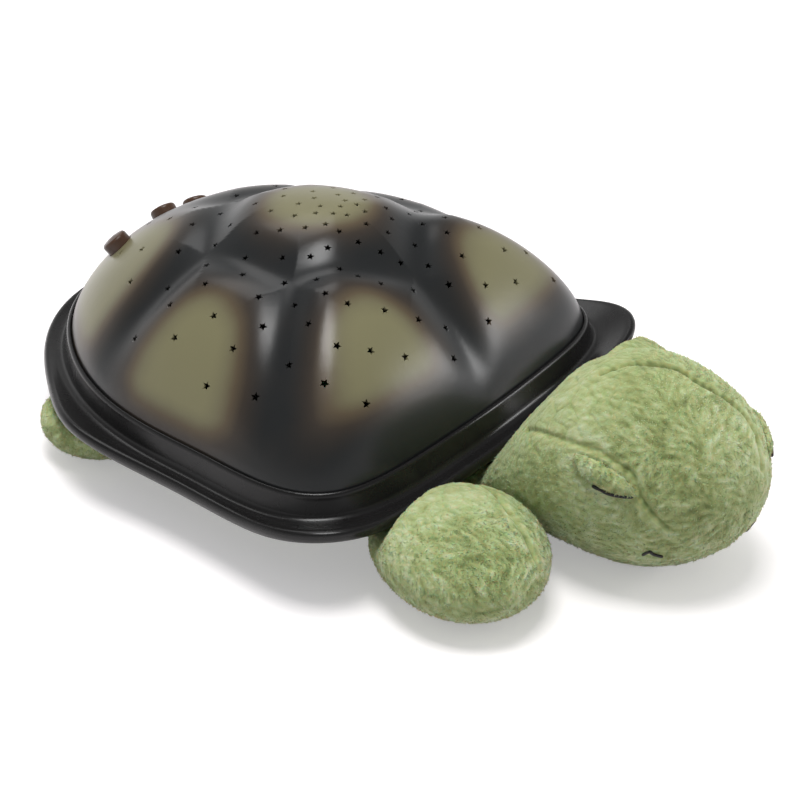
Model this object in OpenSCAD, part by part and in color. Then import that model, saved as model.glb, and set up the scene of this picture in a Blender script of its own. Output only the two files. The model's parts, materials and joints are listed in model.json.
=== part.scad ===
// Bedside star projector: a star-pierced moulded shell on a dark flared rim, over a plush turtle.
// The head looks along -Y, the tail points along +Y, and the toy stands on the plane z = 0.

/* [Shell] */
// Reach of the shell foot from the shell centre towards the head
foot_front = 80; // [76:1:88]
// Reach of the shell foot from the shell centre to the tail
foot_tail = 130; // [124:1:138]
// Half the width of the shell foot
foot_half = 96; // [92:1:104]
// Height of the shell foot above the ground
foot_z = 38; // [36:0.5:42]
// Rise of the shell above its foot
dome_rise = 68; // [64:1:76]
// Wall of the moulded shell
dome_wall = 2; // [1.6:0.1:2.4]
// Depth of the valleys between the scutes
valley_depth = 5.5; // [2:0.5:7]
// Width of the valleys between the scutes
valley_w = 21; // [14:1:28]
// Depth of the shell foot inside the rim
foot_tuck = 3; // [2:0.5:4]

/* [Stars] */
// Number of star openings
star_count = 132; // [60:1:150]
// Tip radius of the stars near the top
star_top_r = 1.7; // [1.4:0.1:2]
// Extra tip radius of the stars low on the shell
star_low_r = 0.6; // [0:0.1:0.8]

/* [Rim] */
// Reach of the brim outside the shell foot
brim_w = 13; // [11:0.5:16]
// Extra reach of the brim at its front lobes
lobe_w = 11; // [6:0.5:13]
// Rise of the brim edge at its front lobes
lobe_rise = 7; // [2:0.5:8]
// Drop from the shell foot to the lowest edge of the brim
brim_drop = 14; // [13:0.5:15]
// Height of the band below the bead
band_h = 8; // [6:0.5:9]
// Wall of the rim
rim_wall = 2.5; // [2:0.1:3]

/* [Base] */
// Height of the underside of the base pan
pan_z = 20; // [19:0.5:21]
// Wall and floor of the base pan
pan_wall = 2.2; // [1.8:0.1:2.6]
// Radius of the screws' shanks
screw_r = 1.3; // [1:0.1:1.5]
// Radius of the screws' heads
screw_head_r = 2.6; // [2.2:0.1:3]

/* [Battery bay] */
// Diameter of one cell
cell_d = 10.5; // [10.3:0.1:10.7]
// Length of one cell
cell_l = 44.5; // [43.5:0.5:45.5]
// Wall of the battery bay
bay_wall = 1.8; // [1.5:0.1:2.2]
// Thickness of the battery door
door_t = 2; // [1.6:0.1:2.4]

/* [Buttons] */
// Diameter of the button caps
button_d = 12; // [10:0.5:13]
// Travel of the buttons
button_travel = 1.2; // [0.8:0.1:1.4]
// Height of a button cap above the shell
button_proud = 4.5; // [2.5:0.5:5]

/* [Light] */
// Diameter of one lamp
led_d = 5; // [4.8:0.1:5.2]
// Thickness of the circuit boards
board_t = 1.6; // [1.2:0.1:2]

/* [Plush] */
// Reach of the nose from the shell centre
head_reach = 202; // [196:1:208]
// Half the length of the head
head_long = 54; // [50:1:56]
// Half the width of the head
head_half = 44.5; // [42:0.5:50]
// Height of the head
head_h = 84; // [82:1:92]
// Half the width of a front foot
front_foot_half = 34; // [30:1:36]
// Height of a front foot
front_foot_h = 41; // [38:1:46]
// Half the width of a rear foot
rear_foot_half = 28; // [25:1:31]
// Height of a rear foot
rear_foot_h = 32; // [29:1:36]
// Gap between the plush pieces and what they meet
seam_gap = 0.3; // [0.2:0.1:0.5]

/* [Hidden] */
$fn = 48;
fit_gap = 0.2;

// ---- shell outline: a closed cubic B-spline, half of it given from the front to the tail ----
// Each point is a share of the half width and of the front or tail reach.
foot_shape = [[0, -1.005], [0.42, -0.99], [0.9, -0.95], [1.06, -0.65], [1.0, -0.12],
    [0.99, 0.23], [0.84, 0.57], [0.47, 0.907], [0, 1.0465]];
foot_turn = 2 * len(foot_shape) - 2;
around = 48;
lobe_at = [2.35, 5.4];
lobe_share = [1, 0.55];
lobe_spread = 0.6;

function foot_knot(i) = let (k = (i + foot_turn) % foot_turn, mirrored = k >= len(foot_shape),
    p = foot_shape[mirrored ? foot_turn - k : k])
    [(mirrored ? -1 : 1) * p[0] * foot_half, p[1] * (p[1] < 0 ? foot_front : foot_tail)];
function foot(t) = let (i = floor(t), f = t - i)
    (pow(1 - f, 3) * foot_knot(i - 1) + (3 * pow(f, 3) - 6 * pow(f, 2) + 4) * foot_knot(i)
    + (-3 * pow(f, 3) + 3 * pow(f, 2) + 3 * f + 1) * foot_knot(i + 1)
    + pow(f, 3) * foot_knot(i + 2)) / 6;
function foot_out(t) = let (d = foot(t + 0.05) - foot(t - 0.05 + foot_turn)) [d[1], -d[0]] / norm(d);
function foot_times(n) = [for (k = [0 : n - 1]) k * foot_turn / n];
function foot_ring(grow, n = around) = [for (t = foot_times(n)) foot(t) + grow * foot_out(t)];
function lobe(t) = concat(lobe_share, lobe_share)
    * [for (c = concat(lobe_at, [for (c = lobe_at) foot_turn - c])) exp(-pow((t - c) / lobe_spread, 2))];

// The shell centre is set back so that the whole toy is centred over the origin.
shell_y = (head_reach - foot_tail - brim_w) / 2;

// ---- shell surface: a domed height over the outline, with valleys between seven scutes ----
// The valleys fade out at the foot and on the land that carries the buttons.
dome_power = 1.9;
dome_shoulder = 1.4;
button_land = [0.07 * foot_half, 0.86 * foot_tail];
land_r = 46;
scute_shape = [[0, 0.02], [0.42, -0.72], [-0.42, -0.72], [0.84, 0.08], [-0.84, 0.08],
    [0.5, 0.66], [-0.5, 0.66]];
scutes = [for (p = scute_shape) [p[0] * foot_half, p[1] * (p[1] < 0 ? foot_front : foot_tail)]];

function valley(p) = let (d = [for (c = scutes) norm(p - c)], first = min(d), k = search(first, d)[0],
    second = min([for (i = [0 : len(d) - 1]) if (i != k) d[i]]))
    -valley_depth * exp(-pow((second - first) / valley_w, 2))
    * (1 - exp(-pow(norm(p - button_land) / land_r, 4)));
function dome_point(s, t, inset = 0) = let (p = foot(t), q = p * (1 - inset / norm(p)))
    [s * q[0], s * q[1], foot_z + (dome_rise - inset) * pow(1 - pow(s, dome_power), 1 / dome_shoulder)
    + valley(s * p) * (1 - pow(s, 8))];
function dome_normal(s, t) = let (step = 0.03,
    n = cross(dome_point(s, t + step) - dome_point(s, t), dome_point(s - step, t) - dome_point(s, t)))
    n / norm(n);
function lift(ring, z) = [for (p = ring) [p[0], p[1], z]];

// ---- heights and places shared by the pieces ----
ledge_z = foot_z - foot_tuck;
brim_z = foot_z - brim_drop;
floor_z = pan_z + pan_wall;
cell_pitch = cell_d + 0.5;
cell_count = 3;
spring_l = 5;
plate_t = 0.6;
bay_in = [cell_count * cell_pitch + 0.5, cell_l + spring_l + 2 * plate_t + 0.2];
bay_out = bay_in + [2 * bay_wall, 2 * bay_wall];
bay_y = 28;
cell_gap = 0.25;
cell_z = pan_z - cell_gap - cell_d / 2;
door_top = cell_z - cell_d / 2 - cell_gap;
door_z = door_top - door_t;
door_lip = 0.9;
door_gap = 0.3;

screw_times = [1.2, 4.2, 6.9];
screw_inset = 9;
rim_screw_rings = concat(screw_times, [for (t = screw_times) foot_turn - t]);
boss_r = 4.2;
seat_z = brim_z + 1.5;

board_size = [46, 34];
board_z = floor_z + 7;
board_y = -8;
board_hole = [19, 13];
post_r = 3;

// The buttons stand on a cone round the tail end: its axis, radius, height and slope.
tail_axis_y = 0.41 * foot_tail;
button_s = 0.825;
button_ring_r = button_s * foot_tail - tail_axis_y;
button_z = dome_point(button_s, foot_turn / 2)[2];
button_tilt = 50;
button_at = [-27, 11, 28, 45];
button_r = button_d / 2;
flange_r = button_r + 0.8;
guide_top = -4.8;
guide_t = 1.2;
flange_t = 1.2;
cone_sag = pow(flange_r, 2) / (2 * button_ring_r);
flange_top = guide_top - guide_t - cone_sag - fit_gap;
stem_end = flange_top - flange_t - 1.5;
switch_top = stem_end - button_travel - fit_gap;
switch_nub = 1;
switch_h = 3.5;
strip_top = switch_top - switch_nub - switch_h;
strip_t = 0.8;
bracket_back = strip_top - strip_t;
bracket_t = 2;
bracket_half = 10;
bracket_turn = [button_at[0] - 11, button_at[3] + 11];

ground_sink = 0.5;
body_inset = 15;
body_tuck = 20;

module place() { translate([0, shell_y, 0]) children(); }
module mirrored() { mirror([1, 0, 0]) children(); }

// Closed skin over rings of equal length, either capped at two tips or running back to the start.
module loft(rings, tips = []) {
    n = len(rings[0]);
    m = len(rings);
    open = len(tips) > 0;
    walls = [for (j = [0 : m - (open ? 2 : 1)], i = [0 : n - 1])
        let (k = (i + 1) % n, a = j * n, b = ((j + 1) % m) * n)
        each [[a + i, a + k, b + k], [a + i, b + k, b + i]]];
    caps = !open ? [] : [for (i = [0 : n - 1]) let (k = (i + 1) % n, last = (m - 1) * n)
        each [[m * n, k, i], [m * n + 1, last + i, last + k]]];
    polyhedron([for (r = concat(rings, [tips])) each r], concat(walls, caps), convexity = 8);
}

// ---- moulded shell ----
outer_rings = 9;
inner_rings = 6;
inner_around = 32;
function dome_rings(count, n, inset) = [for (j = [1 : count])
    [for (t = foot_times(n)) dome_point(sin(90 * j / count), t, inset)]];
function hash(k) = let (v = 37.7 * sin(k * 78.233 + 12.9)) v - floor(v);
star_reach = 0.9;
star_first = 3;
function star_s(k) = star_reach * pow((k + star_first) / (star_count + star_first), 0.8)
    * (0.96 + 0.04 * hash(k));
function star_t(k) = let (turn = k * 0.618034 + 0.02 * hash(k + 500)) foot_turn * (turn - floor(turn));

module star(r, depth) {
    points = [for (k = [0 : 9]) (k % 2 == 0 ? r : 0.48 * r) * [sin(36 * k), cos(36 * k)]];
    translate([0, 0, -depth]) linear_extrude(2 * depth) polygon(points);
}

module on_dome(s, t, spin) {
    n = dome_normal(s, t);
    translate(dome_point(s, t)) rotate([0, acos(n[2]), atan2(n[1], n[0])]) rotate(spin) children();
}

// A button's own frame: z points out of the shell along the travel, from the shell's surface.
module at_button(angle) {
    translate([0, tail_axis_y, 0]) rotate(-angle) translate([0, button_ring_r, button_z])
        rotate([button_tilt - 90, 0, 0]) children();
}

near_button = button_r + 5;
function is_clear(p) = min([for (a = button_at) norm(p - [button_ring_r * sin(a),
    tail_axis_y + button_ring_r * cos(a), button_z])]) > near_button;

// The domed form down to a flat bottom at height z.
module dome_form(count, n, inset, z) {
    rings = dome_rings(count, n, inset);
    foot_line = rings[count - 1];
    loft(concat(rings, [lift(foot_line, z)]), [dome_point(0, 0, inset), [0, 0, z]]);
}

module dome_shell() {
    color([0.42, 0.40, 0.29]) difference() {
        union() {
            difference() {
                dome_form(outer_rings, around, 0, ledge_z);
                dome_form(inner_rings, inner_around, dome_wall, ledge_z - 1);
            }
            for (t = [for (k = [0 : 7]) (k + 0.5) * foot_turn / 8]) locating_rib(t);
        }
        for (k = [0 : star_count - 1]) if (is_clear(dome_point(star_s(k), star_t(k))))
            on_dome(star_s(k), star_t(k), 360 * hash(k + 900))
                star(star_top_r + star_low_r * pow(star_s(k), 2), 2.5 * dome_wall);
        for (a = button_at) at_button(a) translate([0, 0, -2 * dome_wall])
            cylinder(r = button_r + 2 * fit_gap, h = 6 * dome_wall);
    }
}

// Short gusset inside the shell foot that keeps the foot square on its ledge.
module locating_rib(t) {
    p = foot(t) * (1 - dome_wall / norm(foot(t)));
    inwards = -p / norm(p);
    hull() for (end = [[-0.4, 0.4], [2.4, 0.4], [-0.4, 9]]) {
        q = p + inwards * end[0];
        translate([q[0], q[1], ledge_z + end[1]]) rotate(atan2(inwards[1], inwards[0]))
            cube([0.8, 1.6, 0.8], center = true);
    }
}

// ---- rim with its bead, band, gutter and flared brim ----
// Each point: reach outside the foot line, height over the ground, share of the lobe it follows.
function rim_section() = [
    [fit_gap, ledge_z, 0], [fit_gap, foot_z + 0.8, 0], [1.1, foot_z + 1.3, 0],
    [2.1, foot_z + 0.4, 0], [2.4, foot_z - 1.2, 0], [4, foot_z - band_h, 0.05],
    [6, foot_z - band_h - 1.6, 0.15], [brim_w * 0.72, foot_z - band_h - 0.6, 0.6],
    [brim_w - 1.8, foot_z - band_h, 0.92], [brim_w - 0.5, foot_z - band_h - 1, 1],
    [brim_w, brim_z + 3, 1], [brim_w - 0.9, brim_z + 0.7, 1], [brim_w - 2.4, brim_z, 0.95],
    [brim_w * 0.6, brim_z, 0.5], [2.4, brim_z, 0.05], [-rim_wall, seat_z, 0],
    [-screw_inset - boss_r - 0.6, seat_z, 0], [-screw_inset - boss_r - 0.6, seat_z + rim_wall, 0],
    [-dome_wall - rim_wall, seat_z + rim_wall, 0], [-dome_wall - 1.6, ledge_z, 0]];

module rim_skirt() {
    color([0.10, 0.09, 0.085]) difference() {
        loft([for (e = rim_section()) [for (t = foot_times(around))
            let (p = foot(t) + (e[0] + e[2] * lobe_w * lobe(t)) * foot_out(t))
            [p[0], p[1], e[1] + e[2] * lobe_rise * lobe(t)]]]);
        for (t = rim_screw_rings) at_rim_screw(t) translate([0, 0, seat_z - 1])
            cylinder(r = screw_r, h = rim_wall + 2);
    }
}

module at_rim_screw(t) {
    p = foot(t) - screw_inset * foot_out(t);
    translate([p[0], p[1], 0]) children();
}

module screw(head_z, length) {
    translate([0, 0, head_z]) cylinder(r = screw_r, h = length);
    translate([0, 0, head_z - 1.8]) difference() {
        cylinder(r1 = screw_head_r * 0.85, r2 = screw_head_r, h = 1.8);
        for (a = [0, 90]) rotate(a) translate([0, 0, 0.4]) cube([3, 0.8, 1], center = true);
    }
}

rim_screw_seat = pan_z + 3;
module rim_screws() {
    color("silver") for (t = rim_screw_rings) at_rim_screw(t)
        screw(rim_screw_seat, seat_z + rim_wall - rim_screw_seat);
}

// ---- base pan with the battery bay, bosses and board posts ----
module base_pan() {
    wall_line = -screw_inset + boss_r;
    color([0.13, 0.12, 0.12]) difference() {
        union() {
            translate([0, 0, pan_z]) linear_extrude(pan_wall) polygon(foot_ring(wall_line));
            translate([0, 0, pan_z]) linear_extrude(seat_z - pan_z) difference() {
                polygon(foot_ring(wall_line));
                polygon(foot_ring(wall_line - pan_wall));
            }
            for (t = rim_screw_rings) at_rim_screw(t) translate([0, 0, pan_z])
                cylinder(r = boss_r, h = seat_z - pan_z);
            for (x = [-1, 1], y = [-1, 1])
                translate([x * board_hole[0], board_y + y * board_hole[1], pan_z])
                cylinder(r = post_r, h = board_z - pan_z);
            translate([0, bay_y, (pan_z + door_z) / 2])
                cube([bay_out[0], bay_out[1], pan_z - door_z], center = true);
            at_door_screw() translate([0, 0, door_top]) cylinder(r = boss_r, h = pan_z - door_top);
        }
        for (t = rim_screw_rings) at_rim_screw(t) {
            translate([0, 0, pan_z - 1]) cylinder(r = screw_r + fit_gap, h = foot_z);
            translate([0, 0, pan_z - 1]) cylinder(r = screw_head_r + fit_gap, h = 4);
        }
        for (x = [-1, 1], y = [-1, 1])
            translate([x * board_hole[0], board_y + y * board_hole[1], floor_z + 1])
            cylinder(r = screw_r, h = board_z);
        bay_hollow();
        translate([0, 0, door_z - 1]) linear_extrude(door_t + 1) door_tab(boss_r + door_gap);
        at_door_screw() translate([0, 0, door_top - 1]) cylinder(r = screw_r, h = 7);
        for (a = bracket_screw_at) at_bracket_screw(a)
            translate([0, 0, floor_z - 1.8]) cylinder(r = screw_r, h = 3);
    }
}

module bay_hollow() {
    translate([0, bay_y, (pan_z + door_z) / 2 - 0.5])
        cube([bay_in[0], bay_in[1], pan_z - door_z + 1], center = true);
    translate([0, bay_y, door_z + door_t / 2 - 1])
        cube([bay_in[0] + 2 * door_lip, bay_in[1] + 2 * door_lip, door_t + 2], center = true);
}

module at_door_screw() {
    translate([0, bay_y + bay_out[1] / 2, 0]) children();
}

// The tab that the door screw clamps, in the notch at the end of the bay.
module door_tab(r) {
    at_door_screw() circle(r = r);
    at_door_screw() translate([-r, -bay_wall - 3]) square([2 * r, bay_wall + 3]);
}

module battery_door() {
    door = bay_in + [2, 2] * (door_lip - door_gap);
    color([0.15, 0.14, 0.14]) difference() {
        union() {
            translate([0, bay_y, door_z + door_t / 2]) cube([door[0], door[1], door_t], center = true);
            translate([0, 0, door_z]) linear_extrude(door_t) door_tab(boss_r);
        }
        at_door_screw() translate([0, 0, door_z - 1]) cylinder(r = screw_r + fit_gap, h = door_t + 2);
        for (k = [-4 : 4]) translate([0, bay_y + k * 3 - 6, door_z])
            cube([16, 1.2, 1], center = true);
    }
}

module door_screw() {
    color("silver") at_door_screw() screw(door_z, door_t + 4.5);
}

// ---- cells and their contacts ----
module at_cell(k) {
    translate([(k - 1) * cell_pitch, bay_y + (spring_l - 0.1) / 2 * (k % 2 == 0 ? 1 : -1), cell_z])
        rotate([k % 2 == 0 ? -90 : 90, 0, 0]) children();
}

module battery(k) {
    color([0.20, 0.36, 0.30]) at_cell(k) translate([0, 0, -cell_l / 2]) rotate_extrude()
        polygon([[0, 0], [3.4, 0], [3.4, 0.2], [cell_d / 2 - 0.5, 0.2], [cell_d / 2, 0.7],
        [cell_d / 2, cell_l - 1.6], [cell_d / 2 - 0.6, cell_l - 1], [1.9, cell_l - 1],
        [1.9, cell_l], [0, cell_l]]);
}

module contact_springs() {
    ring_r = 3;
    wire_r = 0.35;
    rings = 4;
    color("silver") for (k = [0 : cell_count - 1]) at_cell(k)
        for (j = [0 : rings - 1]) translate([0, 0, -cell_l / 2 - spring_l + wire_r
            + j * (spring_l - 2 * wire_r) / (rings - 1)])
            rotate_extrude() translate([ring_r - 0.3 * j, 0]) circle(r = wire_r, $fn = 16);
}

module contact_plates() {
    color("silver") for (k = [0 : cell_count - 1]) at_cell(k)
        for (z = [-cell_l / 2 - spring_l - plate_t, cell_l / 2])
            translate([0, 0, z + plate_t / 2]) cube([cell_d - 1.5, cell_d - 1.5, plate_t], center = true);
}

// ---- lamps and their board ----
module led_board() {
    color([0.08, 0.30, 0.16]) translate([0, board_y, board_z]) linear_extrude(board_t) difference() {
        offset(r = 2) square(board_size - [4, 4], center = true);
        for (x = [-1, 1], y = [-1, 1]) translate([x * board_hole[0], y * board_hole[1]])
            circle(r = screw_r + fit_gap);
    }
}

module led(turn, tint) {
    color(tint) translate([0, board_y, board_z + board_t]) rotate(turn) translate([0, led_d, 0])
        rotate_extrude() polygon(concat([[0, 0], [led_d / 2 + 0.4, 0], [led_d / 2 + 0.4, 1],
        [led_d / 2, 1], [led_d / 2, 6]], [for (a = [15 : 15 : 75]) [led_d / 2 * cos(a),
        6 + led_d / 2 * sin(a)]], [[0, 6 + led_d / 2]]));
}

module controller_chip() {
    body = [10, 6, 1.7];
    color([0.1, 0.1, 0.1]) translate([0, board_y - 11, board_z + board_t]) {
        translate([0, 0, body[2] / 2 + 0.3]) cube(body, center = true);
        for (k = [0 : 5], side = [-1, 1])
            translate([(k - 2.5) * 1.5, side * (body[1] / 2 + 0.5), 0.5]) cube([0.5, 1.2, 1], center = true);
    }
}

module board_parts() {
    color([0.2, 0.2, 0.45]) translate([0, board_y, board_z + board_t]) {
        for (x = [-12, 12]) translate([x, 8, 0]) cylinder(r = 3, h = 7);
        for (k = [0 : 3]) translate([12 + 3 * (k % 2), -8 + 2 * k, 0.5]) cube([2, 1.2, 1], center = true);
    }
}

module board_screws() {
    color("silver") for (x = [-1, 1], y = [-1, 1])
        translate([x * board_hole[0], board_y + y * board_hole[1], board_z + board_t])
        rotate([180, 0, 0]) screw(0, board_t + 4);
}

// ---- switches behind the buttons ----
// A point of the bracket's section: out along the travel, then down along the cone.
function cone_point(out, down) = [button_ring_r + out * cos(button_tilt) + down * sin(button_tilt),
    button_z + out * sin(button_tilt) - down * cos(button_tilt)];

module round_tail(section, turn) {
    translate([0, tail_axis_y, 0]) rotate(90 - turn[1])
        rotate_extrude(angle = turn[1] - turn[0], $fn = 96) polygon(section);
}

bracket_foot_t = 2.5;
bracket_screw_at = [button_at[0] + 8, button_at[3] - 8];
leg_r = cone_point(bracket_back, bracket_half)[0];
module at_bracket_screw(a) {
    translate([0, tail_axis_y, 0]) rotate(-a) translate([0, leg_r - 6, 0]) children();
}

module switch_bracket() {
    heel = cone_point(bracket_back - bracket_t, bracket_half);
    web = 1.6;
    color([0.75, 0.75, 0.72]) difference() {
        union() {
            round_tail([cone_point(guide_top, -bracket_half), cone_point(guide_top, bracket_half),
                cone_point(bracket_back - bracket_t, bracket_half),
                cone_point(bracket_back - bracket_t, -bracket_half),
                cone_point(bracket_back, -bracket_half), cone_point(bracket_back, bracket_half - web),
                cone_point(guide_top - guide_t, bracket_half - web),
                cone_point(guide_top - guide_t, -bracket_half)], bracket_turn);
            round_tail([[heel[0] - 1, floor_z], [heel[0] + 1, floor_z], [heel[0] + 1, heel[1] + 1.2],
                [heel[0] - 1, heel[1] + 3]], bracket_turn);
            for (a = bracket_screw_at) at_bracket_screw(a) translate([-5, -4, floor_z])
                cube([10, 9.2, bracket_foot_t]);
        }
        for (a = button_at) at_button(a) translate([0, 0, flange_top])
            cylinder(r = button_r + fit_gap, h = 8);
        for (a = bracket_screw_at) at_bracket_screw(a) translate([0, 0, floor_z - 1])
            cylinder(r = screw_r, h = 5);
    }
}

module bracket_screws() {
    color("silver") for (a = bracket_screw_at) at_bracket_screw(a)
        translate([0, 0, floor_z + bracket_foot_t]) rotate([180, 0, 0]) screw(0, bracket_foot_t + 1.8);
}

module button_board() {
    color([0.08, 0.30, 0.16]) round_tail([cone_point(strip_top, -bracket_half + 1),
        cone_point(strip_top, bracket_half - 2.5), cone_point(bracket_back + 0.05, bracket_half - 2.5),
        cone_point(bracket_back + 0.05, -bracket_half + 1)], [button_at[0] - 9, button_at[3] + 9]);
}

module tact_switch(k) {
    color([0.25, 0.25, 0.27]) at_button(button_at[k]) {
        translate([0, 0, strip_top + switch_h / 2]) cube([6, 6, switch_h], center = true);
        translate([0, 0, strip_top + switch_h]) cylinder(r = 1.75, h = switch_nub);
    }
}

module button_cap(k) {
    crown = 1.6;
    color([0.33, 0.20, 0.13]) at_button(button_at[k]) rotate_extrude() polygon(concat(
        [[0, stem_end], [2, stem_end], [2, flange_top - flange_t], [flange_r, flange_top - flange_t],
        [flange_r, flange_top], [button_r, flange_top], [button_r, button_proud - crown]],
        [for (a = [15 : 15 : 75]) [button_r - crown + crown * cos(a), button_proud - crown + crown * sin(a)]],
        [[button_r - crown, button_proud], [0, button_proud + 0.6]]));
}

// ---- plush ----
plush_green = [0.60, 0.67, 0.44];
body_steps = 8;
function body_grow(f) = -body_inset - body_tuck * pow(1 - f, 1.8);

module body_form(grow = 0) {
    height = pan_z - seam_gap + ground_sink + grow;
    for (k = [0 : body_steps - 1]) hull() for (f = [k / body_steps, (k + 1) / body_steps])
        translate([0, 0, f * (height - 0.1) - ground_sink]) linear_extrude(0.1)
            polygon(foot_ring(body_grow(f) + grow, 32));
}

module below_ground() {
    translate([0, 0, -20]) cube([600, 600, 40], center = true);
}

// The space of the rim and pan, kept clear by the plush pieces that reach under them.
module under_brim() {
    edge = [for (t = foot_times(around)) foot(t) + (brim_w + lobe_w * lobe(t) + seam_gap) * foot_out(t)];
    translate([0, 0, brim_z - seam_gap]) linear_extrude(80) polygon(edge);
    translate([0, 0, pan_z - seam_gap]) linear_extrude(40) polygon(foot_ring(seam_gap, 32));
}

module plush_body() {
    window = bay_out + [1, 1];
    color(plush_green) difference() {
        body_form();
        below_ground();
        translate([0, bay_y, 0]) cube([window[0], window[1], 3 * pan_z], center = true);
        linear_extrude(pan_z) door_tab(boss_r + 0.5);
    }
}

// A stuffed limb: oval slices along its axis, from a plain root into a full round end.
slice_count = 13;
function slice_at(k, length) = length * (1 - pow(1 - k / slice_count, 1.5));
function swollen(u, length, long, root, full) = let (centre = length - long,
    round_part = full * sqrt(max(0, 1 - pow((u - centre) / long, 2))),
    neck = root * (1 - pow(u / centre, 4)))
    u > centre ? max(0.4, round_part) : pow(pow(neck, 4) + pow(round_part, 4), 0.25);

module limb(length, long, root, full) {
    for (k = [0 : slice_count - 1]) hull() for (j = [k, k + 1]) {
        u = slice_at(j, length - 0.2);
        half = [swollen(u, length, long, root[0], full[0]), swollen(u, length, long, root[1], full[1])];
        rise = (u > length - long ? full[1] : half[1]) - ground_sink;
        translate([0, -u, rise]) rotate([90, 0, 0]) linear_extrude(0.1) scale(half) circle(r = 1, $fn = 26);
    }
}

neck_y = -58;
head_centre_y = head_long - head_reach;
module head_form(grow = 0) {
    translate([0, neck_y, 0]) limb(head_reach + neck_y + grow, head_long + grow,
        [28 + grow, 12 + grow], [head_half + grow, head_h / 2 + grow]);
}

module plush_head() {
    color(plush_green) difference() {
        head_form();
        below_ground();
        under_brim();
        body_form(seam_gap);
    }
}

front_root = [36, -58];
// The right front foot's splay and reach, then the left one's
front_turn = [29.5, 50];
front_length = [104, 84];
rear_root = [44.5, 54.6];
rear_turn = 116.8;
rear_length = 59;

module front_foot(turn, length) {
    color(plush_green) difference() {
        translate([-front_root[0], front_root[1], 0]) rotate(-turn)
            limb(length, 42, [18, 11], [front_foot_half, front_foot_h / 2]);
        below_ground();
        under_brim();
        body_form(seam_gap);
        head_form(seam_gap);
    }
}

module rear_foot() {
    color(plush_green) difference() {
        translate([-rear_root[0], rear_root[1], 0]) rotate(-rear_turn)
            limb(rear_length, 28, [16, 10], [rear_foot_half, rear_foot_h / 2]);
        below_ground();
        under_brim();
        body_form(seam_gap);
    }
}

tail_length = 36;
module plush_tail() {
    color(plush_green) difference() {
        translate([0, foot_tail - body_inset - 12, 0]) rotate(180) limb(tail_length, 26, [9, 6], [11, 8]);
        below_ground();
        body_form(seam_gap);
    }
}

// A padded flap laid on the head's round, given in degrees round the head from the face.
// The face looks a little to the toy's right.
face_turn = 22;
eyelid_turn = 58;
eyelid_lift = 20;
function head_skin(turn, lift_angle, grow) = [(head_half + grow) * cos(lift_angle) * sin(turn),
    head_centre_y - (head_long + grow) * cos(lift_angle) * cos(turn),
    head_h / 2 - ground_sink + (head_h / 2 + grow) * sin(lift_angle)];

module eyelid(side) {
    size = [17, 7];
    slope = 5;
    pad = 5;
    rings = 3;
    sides = 18;
    function flap(r, a, grow) = head_skin(side * (eyelid_turn + size[0] * r * cos(a)) - face_turn,
        eyelid_lift + size[1] * r * sin(a) + slope * r * cos(a), grow);
    function ring(j, outer) = [for (i = [0 : sides - 1]) let (r = j / rings, a = side * 360 * i / sides)
        flap(r, a, seam_gap + (outer ? 0.2 + pad * sqrt(1 - 0.98 * r * r) : 0))];
    color(plush_green) loft(concat([for (j = [1 : rings]) ring(j, true)],
        [for (j = [rings : -1 : 1]) ring(j, false)]),
        [flap(0, 0, seam_gap + 0.2 + pad), flap(0, 0, seam_gap)]);
}

place() dome_shell();
place() rim_skirt();
place() base_pan();
place() rim_screws();
place() battery_door();
place() door_screw();
place() battery(0);  // battery_1
place() battery(1);  // battery_2
place() battery(2);  // battery_3
place() contact_springs();
place() contact_plates();
place() led_board();
place() led(0, [0.3, 0.45, 0.9, 0.8]);  // led_blue
place() led(120, [0.35, 0.8, 0.45, 0.8]);  // led_green
place() led(240, [0.95, 0.65, 0.25, 0.8]);  // led_amber
place() controller_chip();
place() board_parts();
place() board_screws();
place() switch_bracket();
place() bracket_screws();
place() button_board();
place() tact_switch(0);  // power_switch
place() tact_switch(1);  // blue_switch
place() tact_switch(2);  // green_switch
place() tact_switch(3);  // amber_switch
place() button_cap(0);  // power_button
place() button_cap(1);  // blue_button
place() button_cap(2);  // green_button
place() button_cap(3);  // amber_button
place() plush_body();
place() plush_head();
place() front_foot(front_turn[0], front_length[0]);  // front_right_foot
place() mirrored() front_foot(front_turn[1], front_length[1]);  // front_left_foot
place() rear_foot();  // rear_right_foot
place() mirrored() rear_foot();  // rear_left_foot
place() plush_tail();
place() eyelid(-1);  // right_eyelid
place() eyelid(1);  // left_eyelid
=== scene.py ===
"""Looks of the bedside star projector: a glossy pierced shell on a dark flared rim, over a plush turtle.

Sizes are in millimetres in the shell's own frame, as in the CAD source, and become metres when a piece is
made. Only the stuffed pieces and the stage are worked out in metres.
"""

import json
import math
import bpy
import numpy as np
from mathutils import Matrix, Vector, noise
from mathutils.bvhtree import BVHTree
from mathutils.kdtree import KDTree


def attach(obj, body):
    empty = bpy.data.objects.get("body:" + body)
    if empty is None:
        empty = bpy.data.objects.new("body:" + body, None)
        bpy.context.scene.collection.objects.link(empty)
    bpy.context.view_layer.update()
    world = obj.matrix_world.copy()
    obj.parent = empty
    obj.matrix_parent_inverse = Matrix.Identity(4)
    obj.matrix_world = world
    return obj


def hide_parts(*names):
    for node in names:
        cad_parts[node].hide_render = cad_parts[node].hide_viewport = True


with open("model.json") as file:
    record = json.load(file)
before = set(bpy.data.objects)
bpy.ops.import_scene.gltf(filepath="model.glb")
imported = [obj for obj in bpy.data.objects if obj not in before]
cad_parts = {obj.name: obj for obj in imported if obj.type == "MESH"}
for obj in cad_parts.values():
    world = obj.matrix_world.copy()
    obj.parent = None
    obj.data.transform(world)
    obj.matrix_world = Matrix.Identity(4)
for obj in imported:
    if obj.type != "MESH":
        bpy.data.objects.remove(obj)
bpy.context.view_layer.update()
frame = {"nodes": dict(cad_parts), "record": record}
nodes = frame["nodes"]
MM = 0.001

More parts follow.
